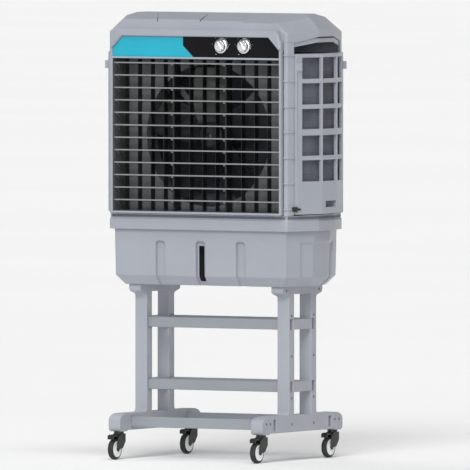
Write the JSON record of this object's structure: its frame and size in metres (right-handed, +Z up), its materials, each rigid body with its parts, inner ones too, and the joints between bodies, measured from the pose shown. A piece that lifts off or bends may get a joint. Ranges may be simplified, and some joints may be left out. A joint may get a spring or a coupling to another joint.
{
  "type": "evaporative cooler",
  "caption": "Tall evaporative air cooler: a louvred housing with side pad grilles on a water tank, carried by an open stand on swivelling braked casters.",
  "frame": {"origin": "on the floor, at the centre of the bounding box, with the casters trailing towards the front", "axes": "+Z up; the louvres and controls face -Y; +X is the right-hand side as seen from the front"},
  "size_m": [0.86, 0.6126, 1.6],
  "materials": {
    "shell": "satin moulded plastic, cool light grey",
    "louvre": "satin moulded plastic, grey",
    "black_plastic": "black moulded plastic",
    "panel": "gloss fascia, black with a cyan field",
    "shroud": "dark grey plastic",
    "tyre": "black tread on a pale grey hub",
    "knob": "metallised silver plastic",
    "motor": "painted metal",
    "pad": "dark corrugated cooling pad"
  },
  "bodies": {
    "cooler_body": {"side_frame_left": "shell", "side_frame_right": "shell", "upper_crossbar_front": "shell", "upper_crossbar_rear": "shell", "middle_crossbar_front": "shell", "middle_crossbar_rear": "shell", "lower_crossbar_front": "shell", "lower_crossbar_rear": "shell", "water_tank": "shell", "main_housing": "shell", "top_cover": "shell", "front_frame": "shell", "side_grille_left": "shell", "side_grille_right": "shell", "control_panel": "panel", "fan_shroud": "shroud", "fan_motor": "motor", "pad_left": "pad", "pad_right": "pad", "water_pump": "black_plastic"},
    "caster_front_left": {"caster_fork_front_left": "black_plastic"},
    "wheel_front_left": {"caster_wheel_front_left": "tyre"},
    "brake_front_left": {"caster_brake_front_left": "black_plastic"},
    "caster_front_right": {"caster_fork_front_right": "black_plastic"},
    "wheel_front_right": {"caster_wheel_front_right": "tyre"},
    "brake_front_right": {"caster_brake_front_right": "black_plastic"},
    "caster_rear_left": {"caster_fork_rear_left": "black_plastic"},
    "wheel_rear_left": {"caster_wheel_rear_left": "tyre"},
    "brake_rear_left": {"caster_brake_rear_left": "black_plastic"},
    "caster_rear_right": {"caster_fork_rear_right": "black_plastic"},
    "wheel_rear_right": {"caster_wheel_rear_right": "tyre"},
    "brake_rear_right": {"caster_brake_rear_right": "black_plastic"},
    "speed_knob": {"speed_knob": "knob"},
    "cooling_knob": {"cooling_knob": "knob"},
    "fan": {"fan": "black_plastic"},
    "slat_01": {"slat_01": "louvre"},
    "slat_02": {"slat_02": "louvre"},
    "slat_03": {"slat_03": "louvre"},
    "slat_04": {"slat_04": "louvre"},
    "slat_05": {"slat_05": "louvre"},
    "slat_06": {"slat_06": "louvre"},
    "slat_07": {"slat_07": "louvre"},
    "slat_08": {"slat_08": "louvre"},
    "slat_09": {"slat_09": "louvre"},
    "slat_10": {"slat_10": "louvre"},
    "slat_11": {"slat_11": "louvre"},
    "slat_12": {"slat_12": "louvre"},
    "vane_01": {"vane_01": "black_plastic"},
    "vane_02": {"vane_02": "black_plastic"},
    "vane_03": {"vane_03": "black_plastic"},
    "vane_04": {"vane_04": "black_plastic"},
    "vane_05": {"vane_05": "black_plastic"},
    "vane_06": {"vane_06": "black_plastic"},
    "vane_07": {"vane_07": "black_plastic"},
    "vane_08": {"vane_08": "black_plastic"},
    "vane_09": {"vane_09": "black_plastic"},
    "vane_10": {"vane_10": "black_plastic"},
    "vane_11": {"vane_11": "black_plastic"},
    "vane_12": {"vane_12": "black_plastic"},
    "vane_13": {"vane_13": "black_plastic"}
  },
  "joints": [
    {"name": "swivel_front_left", "type": "hinge", "parent": "cooler_body", "child": "caster_front_left", "pos_m": [-0.294, -0.23975, 0.0997], "axis": [0, 0, 1], "continuous": true},
    {"name": "roll_front_left", "type": "hinge", "parent": "caster_front_left", "child": "wheel_front_left", "pos_m": [-0.294, -0.26875, 0.0375], "axis": [1, 0, 0], "continuous": true},
    {"name": "pedal_front_left", "type": "hinge", "parent": "caster_front_left", "child": "brake_front_left", "pos_m": [-0.294, -0.25375, 0.085], "axis": [1, 0, 0], "range_deg": [0, 8]},
    {"name": "swivel_front_right", "type": "hinge", "parent": "cooler_body", "child": "caster_front_right", "pos_m": [0.294, -0.23975, 0.0997], "axis": [0, 0, 1], "continuous": true},
    {"name": "roll_front_right", "type": "hinge", "parent": "caster_front_right", "child": "wheel_front_right", "pos_m": [0.294, -0.26875, 0.0375], "axis": [1, 0, 0], "continuous": true},
    {"name": "pedal_front_right", "type": "hinge", "parent": "caster_front_right", "child": "brake_front_right", "pos_m": [0.294, -0.25375, 0.085], "axis": [1, 0, 0], "range_deg": [0, 8]},
    {"name": "swivel_rear_left", "type": "hinge", "parent": "cooler_body", "child": "caster_rear_left", "pos_m": [-0.294, 0.27425, 0.0997], "axis": [0, 0, 1], "continuous": true},
    {"name": "roll_rear_left", "type": "hinge", "parent": "caster_rear_left", "child": "wheel_rear_left", "pos_m": [-0.294, 0.24525, 0.0375], "axis": [1, 0, 0], "continuous": true},
    {"name": "pedal_rear_left", "type": "hinge", "parent": "caster_rear_left", "child": "brake_rear_left", "pos_m": [-0.294, 0.26025, 0.085], "axis": [1, 0, 0], "range_deg": [0, 8]},
    {"name": "swivel_rear_right", "type": "hinge", "parent": "cooler_body", "child": "caster_rear_right", "pos_m": [0.294, 0.27425, 0.0997], "axis": [0, 0, 1], "continuous": true},
    {"name": "roll_rear_right", "type": "hinge", "parent": "caster_rear_right", "child": "wheel_rear_right", "pos_m": [0.294, 0.24525, 0.0375], "axis": [1, 0, 0], "continuous": true},
    {"name": "pedal_rear_right", "type": "hinge", "parent": "caster_rear_right", "child": "brake_rear_right", "pos_m": [0.294, 0.26025, 0.085], "axis": [1, 0, 0], "range_deg": [0, 8]},
    {"name": "speed_knob_turn", "type": "hinge", "parent": "cooler_body", "child": "speed_knob", "pos_m": [0.103, -0.19475, 1.486], "axis": [0, 1, 0], "range_deg": [0, 270]},
    {"name": "cooling_knob_turn", "type": "hinge", "parent": "cooler_body", "child": "cooling_knob", "pos_m": [0.197, -0.19475, 1.486], "axis": [0, 1, 0], "range_deg": [0, 180]},
    {"name": "fan_spin", "type": "hinge", "parent": "cooler_body", "child": "fan", "pos_m": [0, -0.07475, 1.162], "axis": [0, 1, 0], "continuous": true},
    {"name": "slat_01_tilt", "type": "hinge", "parent": "cooler_body", "child": "slat_01", "pos_m": [0, -0.17175, 1.422], "axis": [1, 0, 0], "range_deg": [-30, 30]},
    {"name": "slat_02_tilt", "type": "hinge", "parent": "cooler_body", "child": "slat_02", "pos_m": [0, -0.17175, 1.3773], "axis": [1, 0, 0], "range_deg": [-30, 30]},
    {"name": "slat_03_tilt", "type": "hinge", "parent": "cooler_body", "child": "slat_03", "pos_m": [0, -0.17175, 1.3326], "axis": [1, 0, 0], "range_deg": [-30, 30]},
    {"name": "slat_04_tilt", "type": "hinge", "parent": "cooler_body", "child": "slat_04", "pos_m": [0, -0.17175, 1.2879], "axis": [1, 0, 0], "range_deg": [-30, 30]},
    {"name": "slat_05_tilt", "type": "hinge", "parent": "cooler_body", "child": "slat_05", "pos_m": [0, -0.17175, 1.2432], "axis": [1, 0, 0], "range_deg": [-30, 30]},
    {"name": "slat_06_tilt", "type": "hinge", "parent": "cooler_body", "child": "slat_06", "pos_m": [0, -0.17175, 1.1985], "axis": [1, 0, 0], "range_deg": [-30, 30]},
    {"name": "slat_07_tilt", "type": "hinge", "parent": "cooler_body", "child": "slat_07", "pos_m": [0, -0.17175, 1.1538], "axis": [1, 0, 0], "range_deg": [-30, 30]},
    {"name": "slat_08_tilt", "type": "hinge", "parent": "cooler_body", "child": "slat_08", "pos_m": [0, -0.17175, 1.1091], "axis": [1, 0, 0], "range_deg": [-30, 30]},
    {"name": "slat_09_tilt", "type": "hinge", "parent": "cooler_body", "child": "slat_09", "pos_m": [0, -0.17175, 1.0644], "axis": [1, 0, 0], "range_deg": [-30, 30]},
    {"name": "slat_10_tilt", "type": "hinge", "parent": "cooler_body", "child": "slat_10", "pos_m": [0, -0.17175, 1.0197], "axis": [1, 0, 0], "range_deg": [-30, 30]},
    {"name": "slat_11_tilt", "type": "hinge", "parent": "cooler_body", "child": "slat_11", "pos_m": [0, -0.17175, 0.975], "axis": [1, 0, 0], "range_deg": [-30, 30]},
    {"name": "slat_12_tilt", "type": "hinge", "parent": "cooler_body", "child": "slat_12", "pos_m": [0, -0.17175, 0.9303], "axis": [1, 0, 0], "range_deg": [-30, 30]},
    {"name": "vane_01_swing", "type": "hinge", "parent": "cooler_body", "child": "vane_01", "pos_m": [-0.321, -0.13475, 1.164], "axis": [0, 0, 1], "range_deg": [-35, 35]},
    {"name": "vane_02_swing", "type": "hinge", "parent": "cooler_body", "child": "vane_02", "pos_m": [-0.2675, -0.13475, 1.164], "axis": [0, 0, 1], "range_deg": [-35, 35]},
    {"name": "vane_03_swing", "type": "hinge", "parent": "cooler_body", "child": "vane_03", "pos_m": [-0.214, -0.13475, 1.164], "axis": [0, 0, 1], "range_deg": [-35, 35]},
    {"name": "vane_04_swing", "type": "hinge", "parent": "cooler_body", "child": "vane_04", "pos_m": [-0.1605, -0.13475, 1.164], "axis": [0, 0, 1], "range_deg": [-35, 35]},
    {"name": "vane_05_swing", "type": "hinge", "parent": "cooler_body", "child": "vane_05", "pos_m": [-0.107, -0.13475, 1.164], "axis": [0, 0, 1], "range_deg": [-35, 35]},
    {"name": "vane_06_swing", "type": "hinge", "parent": "cooler_body", "child": "vane_06", "pos_m": [-0.0535, -0.13475, 1.164], "axis": [0, 0, 1], "range_deg": [-35, 35]},
    {"name": "vane_07_swing", "type": "hinge", "parent": "cooler_body", "child": "vane_07", "pos_m": [0, -0.13475, 1.164], "axis": [0, 0, 1], "range_deg": [-35, 35]},
    {"name": "vane_08_swing", "type": "hinge", "parent": "cooler_body", "child": "vane_08", "pos_m": [0.0535, -0.13475, 1.164], "axis": [0, 0, 1], "range_deg": [-35, 35]},
    {"name": "vane_09_swing", "type": "hinge", "parent": "cooler_body", "child": "vane_09", "pos_m": [0.107, -0.13475, 1.164], "axis": [0, 0, 1], "range_deg": [-35, 35]},
    {"name": "vane_10_swing", "type": "hinge", "parent": "cooler_body", "child": "vane_10", "pos_m": [0.1605, -0.13475, 1.164], "axis": [0, 0, 1], "range_deg": [-35, 35]},
    {"name": "vane_11_swing", "type": "hinge", "parent": "cooler_body", "child": "vane_11", "pos_m": [0.214, -0.13475, 1.164], "axis": [0, 0, 1], "range_deg": [-35, 35]},
    {"name": "vane_12_swing", "type": "hinge", "parent": "cooler_body", "child": "vane_12", "pos_m": [0.2675, -0.13475, 1.164], "axis": [0, 0, 1], "range_deg": [-35, 35]},
    {"name": "vane_13_swing", "type": "hinge", "parent": "cooler_body", "child": "vane_13", "pos_m": [0.321, -0.13475, 1.164], "axis": [0, 0, 1], "range_deg": [-35, 35]}
  ],
  "couplings": [
    {"joint": "slat_02_tilt", "follows": "slat_01_tilt", "ratio": 1},
    {"joint": "slat_03_tilt", "follows": "slat_01_tilt", "ratio": 1},
    {"joint": "slat_04_tilt", "follows": "slat_01_tilt", "ratio": 1},
    {"joint": "slat_05_tilt", "follows": "slat_01_tilt", "ratio": 1},
    {"joint": "slat_06_tilt", "follows": "slat_01_tilt", "ratio": 1},
    {"joint": "slat_07_tilt", "follows": "slat_01_tilt", "ratio": 1},
    {"joint": "slat_08_tilt", "follows": "slat_01_tilt", "ratio": 1},
    {"joint": "slat_09_tilt", "follows": "slat_01_tilt", "ratio": 1},
    {"joint": "slat_10_tilt", "follows": "slat_01_tilt", "ratio": 1},
    {"joint": "slat_11_tilt", "follows": "slat_01_tilt", "ratio": 1},
    {"joint": "slat_12_tilt", "follows": "slat_01_tilt", "ratio": 1},
    {"joint": "vane_02_swing", "follows": "vane_01_swing", "ratio": 1},
    {"joint": "vane_03_swing", "follows": "vane_01_swing", "ratio": 1},
    {"joint": "vane_04_swing", "follows": "vane_01_swing", "ratio": 1},
    {"joint": "vane_05_swing", "follows": "vane_01_swing", "ratio": 1},
    {"joint": "vane_06_swing", "follows": "vane_01_swing", "ratio": 1},
    {"joint": "vane_07_swing", "follows": "vane_01_swing", "ratio": 1},
    {"joint": "vane_08_swing", "follows": "vane_01_swing", "ratio": 1},
    {"joint": "vane_09_swing", "follows": "vane_01_swing", "ratio": 1},
    {"joint": "vane_10_swing", "follows": "vane_01_swing", "ratio": 1},
    {"joint": "vane_11_swing", "follows": "vane_01_swing", "ratio": 1},
    {"joint": "vane_12_swing", "follows": "vane_01_swing", "ratio": 1},
    {"joint": "vane_13_swing", "follows": "vane_01_swing", "ratio": 1}
  ]
}
